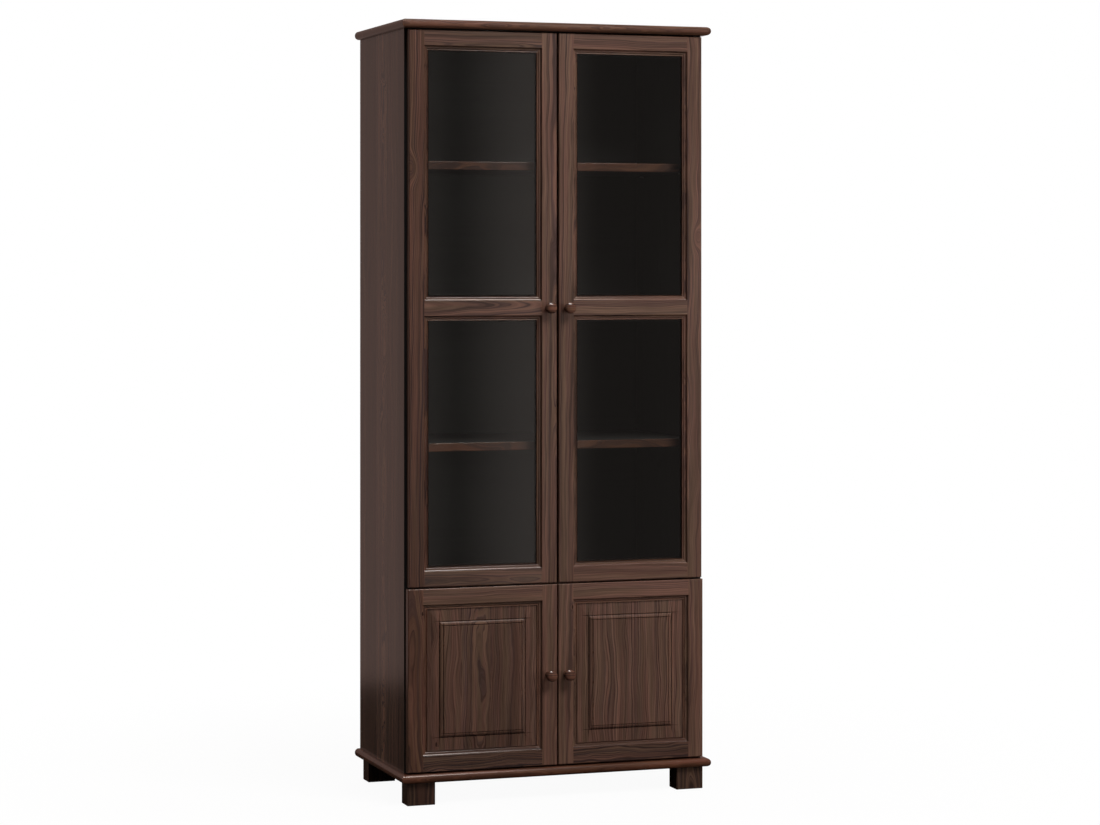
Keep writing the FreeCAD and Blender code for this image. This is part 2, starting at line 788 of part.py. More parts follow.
def knob():
    """A turned knob, from its collar on the door to its crown. Its own +Y points away from the door."""
    body = new_body("knob")
    rise = "(knob_crown - knob_rim_radius)"
    meet_radius = f"knob_crown * knob_neck / {rise}"
    meet_height = f"knob_reach - knob_crown + knob_crown * (knob_crown - knob_head_half) / {rise}"
    outline = new_sketch(body, "XY_Plane")
    corners = [("knob_screw_radius", "0"), ("knob_collar_radius", "0"),
               ("knob_collar_radius", "knob_collar_height"), ("knob_neck", "knob_widest - knob_rim_radius"),
               ("knob_head_radius", "knob_widest"), (meet_radius, meet_height), ("0", "knob_reach"),
               ("0", "knob_screw_in_knob"), ("knob_screw_radius", "knob_screw_in_knob")]
    draw_outline(outline, corners, {2: ("knob_neck_curve", 1), 3: ("knob_rim_radius", -1),
                                    4: ("knob_rim_radius", -1), 5: ("knob_crown", -1)})
    spin(body, outline)
    return body


def knob_screw():
    """A pan-headed screw from the back of the stile. Its own +Y runs from its head to its tip."""
    body = new_body("knob_screw")
    outline = new_sketch(body, "XY_Plane")
    tip = "knob_screw_head_height + door_thickness + knob_screw_in_knob"
    draw_outline(outline, [("0", "0"), ("knob_screw_head_radius", "0"),
                           ("knob_screw_head_radius", "knob_screw_head_height"),
                           ("knob_screw_radius", "knob_screw_head_height"), ("knob_screw_radius", tip),
                           ("0", tip)])
    spin(body, outline)
    return body


def hang_knob(doors, turned_knob, screw):
    """The knob on the meeting stile's face, half way up the door, and its screw from behind."""
    x = f"{doors}_door_left + {doors}_door_width - knob_edge_distance"
    z = f"{doors}_door_middle"
    fronts = {"knob": (turned_knob, "door_front"),
              "knob_screw": (screw, "door_back + knob_screw_head_height")}
    for name, (master, y) in fronts.items():
        hung = copy_to(master, name, x, y, z, (0, 0, 1), 180)
        both_sides(doors + "_{}_" + name, group(f"{doors}_{name}", [hung]))


def door_frame(doors, inner_edge, rails, tenon_front, tenon_thickness):
    """Two stiles and their rails, tenoned together, with the mouldings mitred at the corners."""
    left, base = f"{doors}_door_left", f"{doors}_door_base"
    width, height = f"{doors}_door_width", f"{doors}_door_height"
    envelope = door_envelope(doors)
    seats, mortises = [], []
    for name, outline, moulded_edges, foot_of, tenon, flipped in rails:
        up = f"{height} - ({{}})" if flipped else f"{foot_of} + {{}}"
        mortises.append([up.format(z) for z in tenon])
        upper_edge = moulded_edges[0][0]
        seat = [upper_edge, f"{upper_edge} + {MITRE_RUN}"]
        if len(moulded_edges) > 1:
            lower_edge = moulded_edges[1][0]
            seat += [f"{lower_edge} - {MITRE_RUN}", lower_edge]
        else:
            seat += ["-cut_overrun", "-cut_overrun"]
        seats.append([up.format(z) for z in seat])
    style = (height, inner_edge, seats, mortises, tenon_front, tenon_thickness)
    hinge = stile(f"{doors}_hinge_stile_blank", *style)
    bore_for_cups(hinge, doors)
    place(hinge, left, "door_front", base)
    meeting = stile(f"{doors}_meeting_stile_blank", *style)
    bore_for_knob(meeting, f"{height} / 2")
    place(meeting, f"{left} + {width}", "door_front", f"{base} + {height}", (0, 1, 0), 180)
    both_sides(doors + "_{}_hinge_stile", trim(f"{doors}_hinge_stile", hinge, envelope))
    both_sides(doors + "_{}_meeting_stile", trim(f"{doors}_meeting_stile", meeting, envelope))
    for name, outline, moulded_edges, foot_of, tenon, flipped in rails:
        blank = rail(f"{doors}_{name}_blank", width, outline, moulded_edges, tenon, tenon_front,
                     tenon_thickness)
        if flipped:
            place(blank, f"{left} + {width} - stile_face", "door_front", f"{base} + {height}", (0, 1, 0), 180)
        else:
            place(blank, f"{left} + stile_face", "door_front", f"{base} + {foot_of}")
        both_sides(doors + "_{}_" + name, trim(f"{doors}_{name}", blank, envelope))


# Glazed doors

def glazing_bead(name, length):
    """A bead that holds the glass from behind, rounded where it shows. Its own +X runs from the rebate."""
    body = new_body(name)
    outline = new_sketch(body, "XY_Plane")
    depth = "door_thickness - glass_lip - glass_thickness"
    draw_outline(outline, [("0", "0"), ("glazing_bead_width", "0"),
                           ("glazing_bead_width", f"{depth} - glazing_bead_round"),
                           ("glazing_bead_width - glazing_bead_round", depth), ("0", depth)],
                 {2: ("glazing_bead_round", -1)})
    pad(body, outline, length)
    return body


def glazed_doors(cups, turned_knob, screw):
    low_tenon = ("tenon_shoulder", "upper_rail_back - tenon_shoulder")
    middle_low = "upper_door_height / 2 - middle_rail_edge / 2"
    middle_tenon = ("glass_rebate + tenon_shoulder", "middle_rail_edge - glass_rebate - tenon_shoulder")
    edge_rail = member_outline("upper_rail_face", glass_edge)
    inner_edge = [("upper_rail_face", "+")]
    both_edges = [("sticking_width + middle_rail_face", "+"), ("sticking_width", "-")]
    rails = [("bottom_rail", edge_rail, inner_edge, "0", low_tenon, False),
             ("middle_rail", middle_outline(), both_edges, middle_low, middle_tenon, False),
             ("top_rail", edge_rail, inner_edge, "0", low_tenon, True)]
    door_frame("upper", glass_edge, rails, "glazed_tenon_front", "glazed_tenon_thickness")

    left = "upper_door_left + glass_edge"
    right = "upper_door_left + upper_door_width - glass_edge"
    opening = "upper_door_width - 2 * glass_edge"
    glass_y = "door_front + glass_lip"
    bead_y = f"{glass_y} + glass_thickness"
    clear_height = "upper_door_height / 2 - middle_rail_edge / 2 + glass_rebate - upper_rail_back"
    upright = glazing_bead("upright_bead", f"{clear_height} - 2 * glazing_bead_width")
    level = glazing_bead("level_bead", opening)
    beads = []
    sills = {"lower": "upper_door_base + upper_rail_back",
             "upper": f"upper_door_base + {middle_low} + middle_rail_edge - glass_rebate"}
    for name, sill in sills.items():
        pane = new_box(f"upper_left_{name}_pane", f"{opening} - 2 * glass_clearance", "glass_thickness",
                       f"{clear_height} - 2 * glass_clearance", f"{left} + glass_clearance", glass_y,
                       f"{sill} + glass_clearance")
        both_sides("upper_{}_" + name + "_pane", pane)
        head = f"{sill} + {clear_height}"
        beads.append(copy_to(upright, "bead", left, bead_y, f"{sill} + glazing_bead_width"))
        beads.append(copy_to(upright, "bead", right, bead_y, f"{head} - glazing_bead_width", (0, 1, 0), 180))
        beads.append(copy_to(level, "bead", right, bead_y, sill, (0, 1, 0), -90))
        beads.append(copy_to(level, "bead", left, bead_y, head, (0, 1, 0), 90))
    both_sides("upper_{}_glazing_beads", group("glazing_beads", beads))
    both_sides("upper_{}_hinge_cups", group("upper_cups", cups))
    hang_knob("upper", turned_knob, screw)


# Panelled doors

def panel_outline(span):
    """The panel's section: tongues, sloping borders, ovolos between two sunk quirks, and the field."""
    border = "panel_margin + panel_border"
    slope_top = "groove_width + panel_border_rise"
    ovolo_foot = f"{border} + field_quirk_width"
    ovolo_head = f"{ovolo_foot} + field_ovolo_width"
    ovolo_top = f"{slope_top} + field_ovolo_rise"
    field = f"{ovolo_head} + field_quirk_width"
    near_half = [("0", "0"), ("0", "groove_width"), ("panel_margin", "groove_width"), (border, slope_top),
                 (border, f"{slope_top} - field_quirk_depth"), (ovolo_foot, f"{slope_top} - field_quirk_depth"),
                 (ovolo_foot, slope_top), (ovolo_head, ovolo_top),
                 (ovolo_head, f"{ovolo_top} - field_quirk_depth"), (field, f"{ovolo_top} - field_quirk_depth"),
                 (field, f"{ovolo_top} + field_step")]
    far_half = [(f"{span} - ({across})", up) for across, up in reversed(near_half)]
    ovolo = ("field_ovolo_radius", 1)
    return near_half + far_half, {6: ovolo, 14: ovolo}


def raised_panel():
    """A floating panel: what its section has in common run upright and run level, so its corners mitre."""
    upright = new_body("panel_upright")
    pad(upright, draw_outline(new_sketch(upright, "XZ_Plane"), *panel_outline("panel_width")), "panel_height",
        reverse=True)
    level = new_body("panel_level")
    pad(level, draw_outline(new_sketch(level, "YZ_Plane"), *panel_outline("panel_height")), "panel_width")
    for run in (upright, level):
        place(run, "lower_door_left + groove_floor + panel_clearance",
              "door_front + groove_front + groove_width",
              "lower_door_base + lower_rail_edge - panel_margin", (1, 0, 0), 90)
    return trim("raised_panel", upright, level)


def panelled_doors(cups, turned_knob, screw):
    tenon = ("tenon_shoulder", "lower_rail_edge - groove_depth - tenon_shoulder")
    outline = member_outline("lower_rail_face", panel_edge)
    inner_edge = [("lower_rail_face", "+")]
    rails = [("bottom_rail", outline, inner_edge, "0", tenon, False),
             ("top_rail", outline, inner_edge, "0", tenon, True)]
    door_frame("lower", panel_edge, rails, "groove_front", "groove_width")
    both_sides("lower_{}_panel", raised_panel())
    both_sides("lower_{}_hinge_cups", group("lower_cups", cups))
    hang_knob("lower", turned_knob, screw)


# Build, check and write

def check_document():
    doc.recompute()
    for thing in doc.Objects:
        if "Invalid" in thing.State or "Error" in thing.State:
            raise RuntimeError(f"{thing.Label} failed: {thing.State}")
    for label, thing in nodes.items():
        shape = thing.Shape
        if shape.isNull() or not shape.isValid() or not shape.Solids:
            raise RuntimeError(f"{label} has no valid solid")


def write_nodes(folder):
    os.makedirs(folder, exist_ok=True)
    for label, thing in nodes.items():
        thing.Shape.exportStep(f"{folder}/{label}.step")
        print(f"{label}: {len(thing.Shape.Solids)} solid(s), {thing.Shape.Volume:.0f} mm3")


door_cups, fixed_hinges = hinges()
carcass(fixed_hinges)
shared_knob = knob()
shared_screw = knob_screw()
glazed_doors(door_cups["upper"], shared_knob, shared_screw)
panelled_doors(door_cups["lower"], shared_knob, shared_screw)
check_document()
write_nodes("parts")
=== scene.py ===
# %% [markdown]
# # A stained pine bookcase with glazed and panelled doors
# The solids of this bookcase come from its drawing: sides, boards, shelves, four framed doors, panes,
# panels, knobs and hinges. This lesson dresses them: it gives every board its own piece of timber,
# glazes the upper doors, nails the back on, and sets up a camera in a small studio.

# %% Load the drawing as a frame
import math

import bmesh
import bpy
from mathutils import Matrix, Vector


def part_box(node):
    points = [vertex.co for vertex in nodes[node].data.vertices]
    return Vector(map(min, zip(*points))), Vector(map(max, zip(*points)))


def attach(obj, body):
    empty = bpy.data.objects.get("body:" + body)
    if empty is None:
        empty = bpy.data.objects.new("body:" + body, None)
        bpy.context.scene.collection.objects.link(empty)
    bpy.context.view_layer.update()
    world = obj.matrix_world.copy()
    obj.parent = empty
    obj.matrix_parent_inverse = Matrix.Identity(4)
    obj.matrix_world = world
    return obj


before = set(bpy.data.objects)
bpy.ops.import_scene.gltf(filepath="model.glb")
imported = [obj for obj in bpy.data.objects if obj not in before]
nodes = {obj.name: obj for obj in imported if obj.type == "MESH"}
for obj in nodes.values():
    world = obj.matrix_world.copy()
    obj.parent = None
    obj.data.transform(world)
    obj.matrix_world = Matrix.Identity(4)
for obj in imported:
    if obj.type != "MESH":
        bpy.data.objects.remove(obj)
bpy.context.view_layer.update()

# %% [markdown]
# ## The camera
# The picture was taken from the left, with upright lines kept upright. A camera that looks down
# would make them lean, so this one looks level and its lens is shifted down instead, as a view
# camera does it. Its place came from matching corners of the drawing to the picture.

# %% Set up the view camera
PICTURE_WIDTH = 1100
FOCAL_PIXELS = 2955.1
HORIZON_ABOVE_MIDDLE = 145.3
CAMERA_PLACE = (-2.384, -7.0431, 1.3008)
TURNED_RIGHT = 19.04

lens = bpy.data.cameras.new("view_camera")
lens.sensor_width = 36.0
lens.lens = lens.sensor_width * FOCAL_PIXELS / PICTURE_WIDTH
lens.shift_y = -HORIZON_ABOVE_MIDDLE / PICTURE_WIDTH
camera = bpy.data.objects.new("view_camera", lens)
camera.location = CAMERA_PLACE
camera.rotation_euler = (math.radians(90), 0, math.radians(-TURNED_RIGHT))
bpy.context.scene.collection.objects.link(camera)
bpy.context.scene.camera = camera
bpy.context.scene.view_settings.view_transform = "Standard"
print("lens", round(lens.lens, 1), "mm, shift", round(lens.shift_y, 4))

# %% [markdown]
# ## Tools for building materials
# A material is a small machine of nodes. Three helpers keep the recipes below readable: one adds a
# node, one feeds a socket with a link or a plain value, and one does a sum.

# %% Helpers for node trees
def add(tree, kind, **settings):
    node = tree.nodes.new(kind)
    for name, value in settings.items():
        setattr(node, name, value)
    return node


def feed(tree, socket, value):
    if isinstance(value, bpy.types.NodeSocket):
        tree.links.new(value, socket)
    else:
        socket.default_value = value


def sums(tree, operation, *values, clamp=False):
    node = add(tree, "ShaderNodeMath", operation=operation, use_clamp=clamp)
    for socket, value in zip(node.inputs, values):
        feed(tree, socket, value)
    return node.outputs[0]


print("node helpers ready")

# %% [markdown]
# Patterns need three more. Noise that is squeezed across the grain and stretched along it turns
# into fibres. A band remaps one range of values to 0 to 1 with soft ends. A blend mixes two
# colours.

# %% Helpers for patterns
def stretched_noise(tree, place, stretch, detail=2.0):
    scaled = add(tree, "ShaderNodeVectorMath", operation="MULTIPLY")
    feed(tree, scaled.inputs[0], place)
    feed(tree, scaled.inputs[1], stretch)
    noise = add(tree, "ShaderNodeTexNoise")
    feed(tree, noise.inputs["Vector"], scaled.outputs[0])
    feed(tree, noise.inputs["Scale"], 1.0)
    feed(tree, noise.inputs["Detail"], detail)
    return noise.outputs[0]


def band(tree, value, start, end, low=0.0, high=1.0):
    node = add(tree, "ShaderNodeMapRange", interpolation_type="SMOOTHSTEP")
    for socket, given_value in zip(node.inputs, (value, start, end, low, high)):
        feed(tree, socket, given_value)
    return node.outputs[0]


def blend(tree, factor, first, second, how="MIX"):
    node = add(tree, "ShaderNodeMix", data_type="RGBA", blend_type=how)
    feed(tree, node.inputs[0], factor)
    feed(tree, node.inputs[6], first)
    feed(tree, node.inputs[7], second)
    return node.outputs[2]


print("pattern helpers ready")

# %% [markdown]
# ## Stained pine
# Nearly everything here is pine under a dark walnut stain and a satin lacquer. A board shows the
# growth rings of its tree as lines: straight where the saw cut across the rings, and pointed
# arches where it ran along them. An image of wood would repeat and would stretch over mouldings,
# so the tree itself is imitated: rings round a heart line, cut by the surface of each piece.
# One node group holds the recipe, and every board feeds it its own values.

# %% The recipe's inputs
pine = bpy.data.node_groups.new("stained_pine", "ShaderNodeTree")
PINE_INPUTS = (
    ("Board", "NodeSocketVector", None),
    ("Seed", "NodeSocketFloat", 0.0),
    ("Ring width", "NodeSocketFloat", 0.006),
    ("Heart across", "NodeSocketFloat", 0.0),
    ("Heart depth", "NodeSocketFloat", 0.04),
    ("Lean", "NodeSocketFloat", 0.0),
    ("Figure", "NodeSocketFloat", 1.0),
    ("Strip width", "NodeSocketFloat", 10.0),
    ("Strip shift", "NodeSocketFloat", 0.0),
    ("Knot across", "NodeSocketFloat", 0.0),
    ("Knot along", "NodeSocketFloat", 9.0),
    ("Knot size", "NodeSocketFloat", 0.012),
    ("Knot eye", "NodeSocketFloat", 0.25),
    ("Tone", "NodeSocketFloat", 1.0),
    ("Contrast", "NodeSocketFloat", 1.0),
    ("Warmth", "NodeSocketFloat", 0.0),
    ("Inner face", "NodeSocketVector", (0.0, 0.0, 0.0)),
    ("Inner from", "NodeSocketFloat", 9.0),
    ("Edge from", "NodeSocketFloat", 9.0),
)
for name, kind, usual in PINE_INPUTS:
    socket = pine.interface.new_socket(name, in_out="INPUT", socket_type=kind)
    if usual is not None:
        socket.default_value = usual
for name, kind in (("Colour", "NodeSocketColor"), ("Roughness", "NodeSocketFloat"),
                   ("Relief", "NodeSocketFloat")):
    pine.interface.new_socket(name, in_out="OUTPUT", socket_type=kind)
given = add(pine, "NodeGroupInput").outputs
print(len(PINE_INPUTS), "values describe a board")

# %% [markdown]
# Wide boards such as the sides are glued up from strips. Each strip came from another tree, so its
# number is turned into three chance values that move its heart line and its colour. A board in one
# piece has a strip width far larger than itself.

# %% Strips glued edge to edge
SEED_STEP = 17.3
FAR_APART = (40.0, 40.0, 40.0)

place = add(pine, "ShaderNodeSeparateXYZ")
feed(pine, place.inputs[0], given["Board"])
across, deep, along = place.outputs
shifted = sums(pine, "SUBTRACT", across, given["Strip shift"])
strip = sums(pine, "DIVIDE", shifted, given["Strip width"])
strip = sums(pine, "FLOOR", sums(pine, "ADD", strip, 0.5))
in_strip = sums(pine, "SUBTRACT", shifted, sums(pine, "MULTIPLY", strip, given["Strip width"]))
is_glued = sums(pine, "LESS_THAN", given["Strip width"], 1.0)

draw = add(pine, "ShaderNodeTexWhiteNoise", noise_dimensions="1D")
feed(pine, draw.inputs["W"], sums(pine, "MULTIPLY_ADD", strip, SEED_STEP, given["Seed"]))
chances = add(pine, "ShaderNodeSeparateXYZ")
feed(pine, chances.inputs[0], draw.outputs["Color"])
chance_heart, chance_lean, chance_tone = [
    sums(pine, "MULTIPLY", sums(pine, "SUBTRACT", chance, 0.5), is_glued) for chance in chances.outputs]

own_place = add(pine, "ShaderNodeVectorMath", operation="MULTIPLY_ADD")
feed(pine, own_place.inputs[0], draw.outputs["Color"])
feed(pine, own_place.inputs[1], FAR_APART)
feed(pine, own_place.inputs[2], given["Board"])
own_place = own_place.outputs[0]
print("strips draw their own place in the tree")

# %% [markdown]
# The rings are the distance from the heart line. The heart wanders, which makes the lines wavy, and
# it leans through the board, which makes the arches. A knot pushes the rings aside. Within a ring
# the pale spring wood darkens slowly and stops at a sharp dark line.

# %% Growth rings round a wandering heart
HEART_CHANCE = LEAN_CHANCE = 0.05
HEART_STEP = 0.11
WANDER_ACROSS, WANDER_DEEP, WAVER_SIZE = 0.03, 0.02, 0.008
KNOT_STRETCH, KNOT_PUSH = 0.45, 1.6
YEAR_SCALE, YEAR_SPREAD = 70.0, 2.0

wander = sums(pine, "SUBTRACT", stretched_noise(pine, own_place, (8.0, 8.0, 4.0)), 0.5)
wander = sums(pine, "MULTIPLY", wander, given["Figure"])
waver = sums(pine, "SUBTRACT", stretched_noise(pine, own_place, (30.0, 30.0, 8.0)), 0.5)
waver = sums(pine, "MULTIPLY", waver, given["Figure"])
heart = sums(pine, "MULTIPLY_ADD", chance_heart, HEART_CHANCE, given["Heart across"])
heart = sums(pine, "MULTIPLY_ADD", strip, HEART_STEP, heart)
from_heart = sums(pine, "SUBTRACT", in_strip, heart)
from_heart = sums(pine, "MULTIPLY_ADD", wander, WANDER_ACROSS, from_heart)
lean = sums(pine, "MULTIPLY_ADD", chance_lean, LEAN_CHANCE, given["Lean"])
below_face = sums(pine, "ADD", deep, given["Heart depth"])
below_face = sums(pine, "MULTIPLY_ADD", along, lean, below_face)
below_face = sums(pine, "MULTIPLY_ADD", wander, WANDER_DEEP, below_face)
squares = sums(pine, "MULTIPLY", below_face, below_face)
squares = sums(pine, "MULTIPLY_ADD", from_heart, from_heart, squares)
radius = sums(pine, "MULTIPLY_ADD", waver, WAVER_SIZE, sums(pine, "SQRT", squares))

knot_x = sums(pine, "SUBTRACT", across, given["Knot across"])
knot_x = sums(pine, "DIVIDE", knot_x, given["Knot size"])
knot_z = sums(pine, "SUBTRACT", along, given["Knot along"])
knot_z = sums(pine, "DIVIDE", knot_z, given["Knot size"])
knot_z = sums(pine, "MULTIPLY", knot_z, KNOT_STRETCH)
knot_far = sums(pine, "MULTIPLY_ADD", knot_x, knot_x, sums(pine, "MULTIPLY", knot_z, knot_z))
knot = sums(pine, "EXPONENT", sums(pine, "MULTIPLY", knot_far, -1.0))
push = sums(pine, "MULTIPLY", given["Knot size"], KNOT_PUSH)
radius = sums(pine, "MULTIPLY_ADD", knot, push, radius)

years = add(pine, "ShaderNodeTexNoise", noise_dimensions="1D")
feed(pine, years.inputs["W"], sums(pine, "MULTIPLY", radius, YEAR_SCALE))
ring = sums(pine, "DIVIDE", radius, given["Ring width"])
ring = sums(pine, "MULTIPLY_ADD", years.outputs[0], YEAR_SPREAD, ring)
in_ring = sums(pine, "FRACT", ring)
late_wood = sums(pine, "MULTIPLY", band(pine, in_ring, 0.3, 0.9),
                 band(pine, in_ring, 0.9, 1.0, 1.0, 0.0))
print("rings, wavy lines, arches and knots")

# %% [markdown]
# Fine fibres and dark streaks run with the rings, so they wave where the rings wave and swing round
# a knot. Over them lie broad clouds where the stain took unevenly, some redder and some greener.

# %% Fibres, clouds and the stain's colour
RED_STAIN, GREEN_STAIN = (0.128, 0.063, 0.045, 1), (0.114, 0.065, 0.043, 1)
LINE_STAIN = (0.042, 0.025, 0.0235, 1)
TONE_CHANCE = 0.3

with_rings = add(pine, "ShaderNodeCombineXYZ")
for socket, value in zip(with_rings.inputs, (radius, 0.0, along)):
    feed(pine, socket, value)
flow = add(pine, "ShaderNodeVectorMath", operation="MULTIPLY_ADD")
for socket, value in zip(flow.inputs, (draw.outputs["Color"], FAR_APART, with_rings.outputs[0])):
    feed(pine, socket, value)
fibre = stretched_noise(pine, flow.outputs[0], (900.0, 900.0, 14.0), 3.0)
streak = stretched_noise(pine, flow.outputs[0], (210.0, 210.0, 3.0), 3.0)
cloud = stretched_noise(pine, own_place, (11.0, 11.0, 2.2))
flush = stretched_noise(pine, own_place, (60.0, 60.0, 3.0))

stain = blend(pine, band(pine, flush, 0.35, 0.65), RED_STAIN, GREEN_STAIN)
line_depth = sums(pine, "MULTIPLY", late_wood, band(pine, cloud, 0.25, 0.75, 0.55, 1.0))
line_depth = sums(pine, "MULTIPLY", line_depth, given["Contrast"], clamp=True)
stain = blend(pine, line_depth, stain, LINE_STAIN)
shade = sums(pine, "MULTIPLY", band(pine, streak, 0.3, 0.7, 0.72, 1.24),
             band(pine, fibre, 0.3, 0.7, 0.86, 1.12))
shade = sums(pine, "MULTIPLY", shade, band(pine, cloud, 0.25, 0.75, 0.92, 1.06))
tone_spread = sums(pine, "MULTIPLY", given["Contrast"], TONE_CHANCE)
tone = sums(pine, "MULTIPLY_ADD", chance_tone, tone_spread, given["Tone"])
shade = sums(pine, "MULTIPLY", shade, tone)
shade = sums(pine, "MULTIPLY", shade, band(pine, knot, 0.6, 0.85, 1.0, given["Knot eye"]))
print("stain mixed")

# %% [markdown]
# Two things happen where faces meet. Tight inner corners, such as the quirk beside a moulding, are
# darkened nearly black: this is painted shade. Outer edges are made lighter and redder: partly wear,
# where hands and dusters thin the stain, and partly a painted highlight along the arris. The Ambient
# Occlusion node finds both: looking out it finds inner corners, and looking into the wood it finds
# edges. Some boards took the stain redder.

# %% Painted shade in corners, and worn edges with a painted highlight
EDGE_REACH, CORNER_SHADE_REACH = 0.002, 0.006
WORN_AND_HIGHLIT_WOOD = (0.150, 0.070, 0.044, 1)
WARM_TINT = (1.0, 0.72, 0.58, 1)
PAINTED_SHADE_BLACK = (0.012, 0.005, 0.003, 1)

# Worn edges, lighter and redder: partly wear, partly a painted highlight along each arris.
edge = add(pine, "ShaderNodeAmbientOcclusion", samples=4, only_local=True, inside=True)
feed(pine, edge.inputs["Distance"], EDGE_REACH)
worn_and_highlit = sums(pine, "MULTIPLY", band(pine, edge.outputs["AO"], 0.55, 0.95, 1.0, 0.0),
            band(pine, streak, 0.3, 0.7, 0.2, 0.6))
stain = blend(pine, worn_and_highlit, stain, WORN_AND_HIGHLIT_WOOD)
stain = blend(pine, given["Warmth"], stain, WARM_TINT, "MULTIPLY")
grey = add(pine, "ShaderNodeCombineColor")
for socket in grey.inputs:
    feed(pine, socket, shade)
stain = blend(pine, 1.0, stain, grey.outputs[0], "MULTIPLY")
# Painted shade: inner corners are darkened nearly black.
corner = add(pine, "ShaderNodeAmbientOcclusion", samples=6, only_local=True)
feed(pine, corner.inputs["Distance"], CORNER_SHADE_REACH)
stain = blend(pine, band(pine, corner.outputs["AO"], 0.45, 0.97, 0.92, 0.0), stain, PAINTED_SHADE_BLACK)
print("corners darkened and edges worn")

# %% [markdown]
# Behind the glass the case is neutral black: its inside faces are coloured charcoal, and only the front
# edges of the shelves are brown. A board can say which of its faces look inwards, by a direction and how
# far along it they start. The sides' front edges, which show as a black line beside the doors, are
# charcoal too: a painted shadow of the doors.

# %% Charcoal inside
CHARCOAL_DEEP, CHARCOAL_PALE = (0.009, 0.0085, 0.008, 1), (0.015, 0.0145, 0.014, 1)

inward = add(pine, "ShaderNodeVectorMath", operation="DOT_PRODUCT")
feed(pine, inward.inputs[0], given["Board"])
feed(pine, inward.inputs[1], given["Inner face"])
inside_and_shadow_edge = sums(pine, "GREATER_THAN", inward.outputs["Value"], given["Inner from"])
# The sides' front edges are coloured charcoal as a painted shadow of the doors.
inside_and_shadow_edge = sums(pine, "MAXIMUM", inside_and_shadow_edge, sums(pine, "GREATER_THAN", across, given["Edge from"]))
charcoal = blend(pine, streak, CHARCOAL_DEEP, CHARCOAL_PALE)
stain = blend(pine, inside_and_shadow_edge, stain, charcoal)
print("inside stained")

# %% [markdown]
# The lacquer is satin. It sinks a little into the soft spring wood and stays smoother on the hard
# dark lines, and the fibres stand in faint relief under it. The charcoal inside is matt.

# %% Gloss and relief
SATIN, LINE_ROUGHNESS, FIBRE_ROUGHNESS, MATT = 0.15, -0.04, 0.12, 0.6
LINE_RELIEF, FIBRE_RELIEF = 0.4, 0.6

gloss = sums(pine, "MULTIPLY_ADD", late_wood, LINE_ROUGHNESS, SATIN)
gloss = sums(pine, "MULTIPLY_ADD", fibre, FIBRE_ROUGHNESS, gloss)
gloss = sums(pine, "MULTIPLY_ADD", inside_and_shadow_edge, MATT, gloss)
relief = sums(pine, "MULTIPLY", late_wood, LINE_RELIEF)
relief = sums(pine, "MULTIPLY_ADD", fibre, FIBRE_RELIEF, relief)
result = add(pine, "NodeGroupOutput")
feed(pine, result.inputs["Colour"], stain)
feed(pine, result.inputs["Roughness"], gloss)
feed(pine, result.inputs["Relief"], relief)
print("stained pine has", len(pine.nodes), "nodes")

# %% [markdown]
# ## How a board lies
# The recipe thinks of a board that stands upright and faces the front. A Mapping node turns each
# real board into that place and moves its middle to the origin. There are four ways to lie:
# upright facing the front, upright facing sideways, level facing the front, and level facing up.

# %% Turn a board's place into the recipe's place
LIES = {
    "upright": Matrix(((1, 0, 0), (0, 1, 0), (0, 0, 1))),
    "upright_side": Matrix(((0, -1, 0), (1, 0, 0), (0, 0, 1))),
    "level": Matrix(((0, 0, -1), (0, 1, 0), (1, 0, 0))),
    "level_flat": Matrix(((0, 1, 0), (0, 0, 1), (1, 0, 0))),
}


def board_place(tree, node_name, lie):
    low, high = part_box(node_name)
    turn = LIES[lie]
    mapping = add(tree, "ShaderNodeMapping", vector_type="POINT")
    feed(tree, mapping.inputs["Vector"], add(tree, "ShaderNodeTexCoord").outputs["Object"])
    mapping.inputs["Rotation"].default_value = turn.to_euler("XYZ")
    mapping.inputs["Location"].default_value = -(turn @ ((low + high) / 2))
    return mapping.outputs[0]


print(len(LIES), "ways to lie")

# %% [markdown]
# Each board gets a material of its own. The Bevel node rounds the look of every arris by less than
# a millimetre, as sandpaper does, so edges catch the light without any change to the mesh.

# %% One piece of timber
ARRIS_RADIUS = 0.0004
RELIEF_STRENGTH, RELIEF_HEIGHT = 0.1, 0.0003


def dress(node_name, material):
    slots = nodes[node_name].material_slots
    for slot in slots:
        slot.material = material
    if not slots:
        nodes[node_name].data.materials.append(material)


def timber(node_name, lie, polish=0.0, shine=0.5, **values):
    material = bpy.data.materials.new(node_name)
    material.use_nodes = True
    tree = material.node_tree
    shader = tree.nodes["Principled BSDF"]
    grain = add(tree, "ShaderNodeGroup", node_tree=pine)
    feed(tree, grain.inputs["Board"], board_place(tree, node_name, lie))
    for name, value in values.items():
        grain.inputs[name.replace("_", " ").capitalize()].default_value = value
    arris = add(tree, "ShaderNodeBevel", samples=4)
    arris.inputs["Radius"].default_value = ARRIS_RADIUS
    bump = add(tree, "ShaderNodeBump")
    bump.inputs["Strength"].default_value = RELIEF_STRENGTH
    bump.inputs["Distance"].default_value = RELIEF_HEIGHT
    feed(tree, bump.inputs["Height"], grain.outputs["Relief"])
    feed(tree, bump.inputs["Normal"], arris.outputs[0])
    shader.inputs["Specular IOR Level"].default_value = shine
    feed(tree, shader.inputs["Base Color"], grain.outputs["Colour"])
    feed(tree, shader.inputs["Roughness"], sums(tree, "SUBTRACT", grain.outputs["Roughness"], polish))
    feed(tree, shader.inputs["Normal"], bump.outputs[0])
    dress(node_name, material)


print("ready to saw timber")

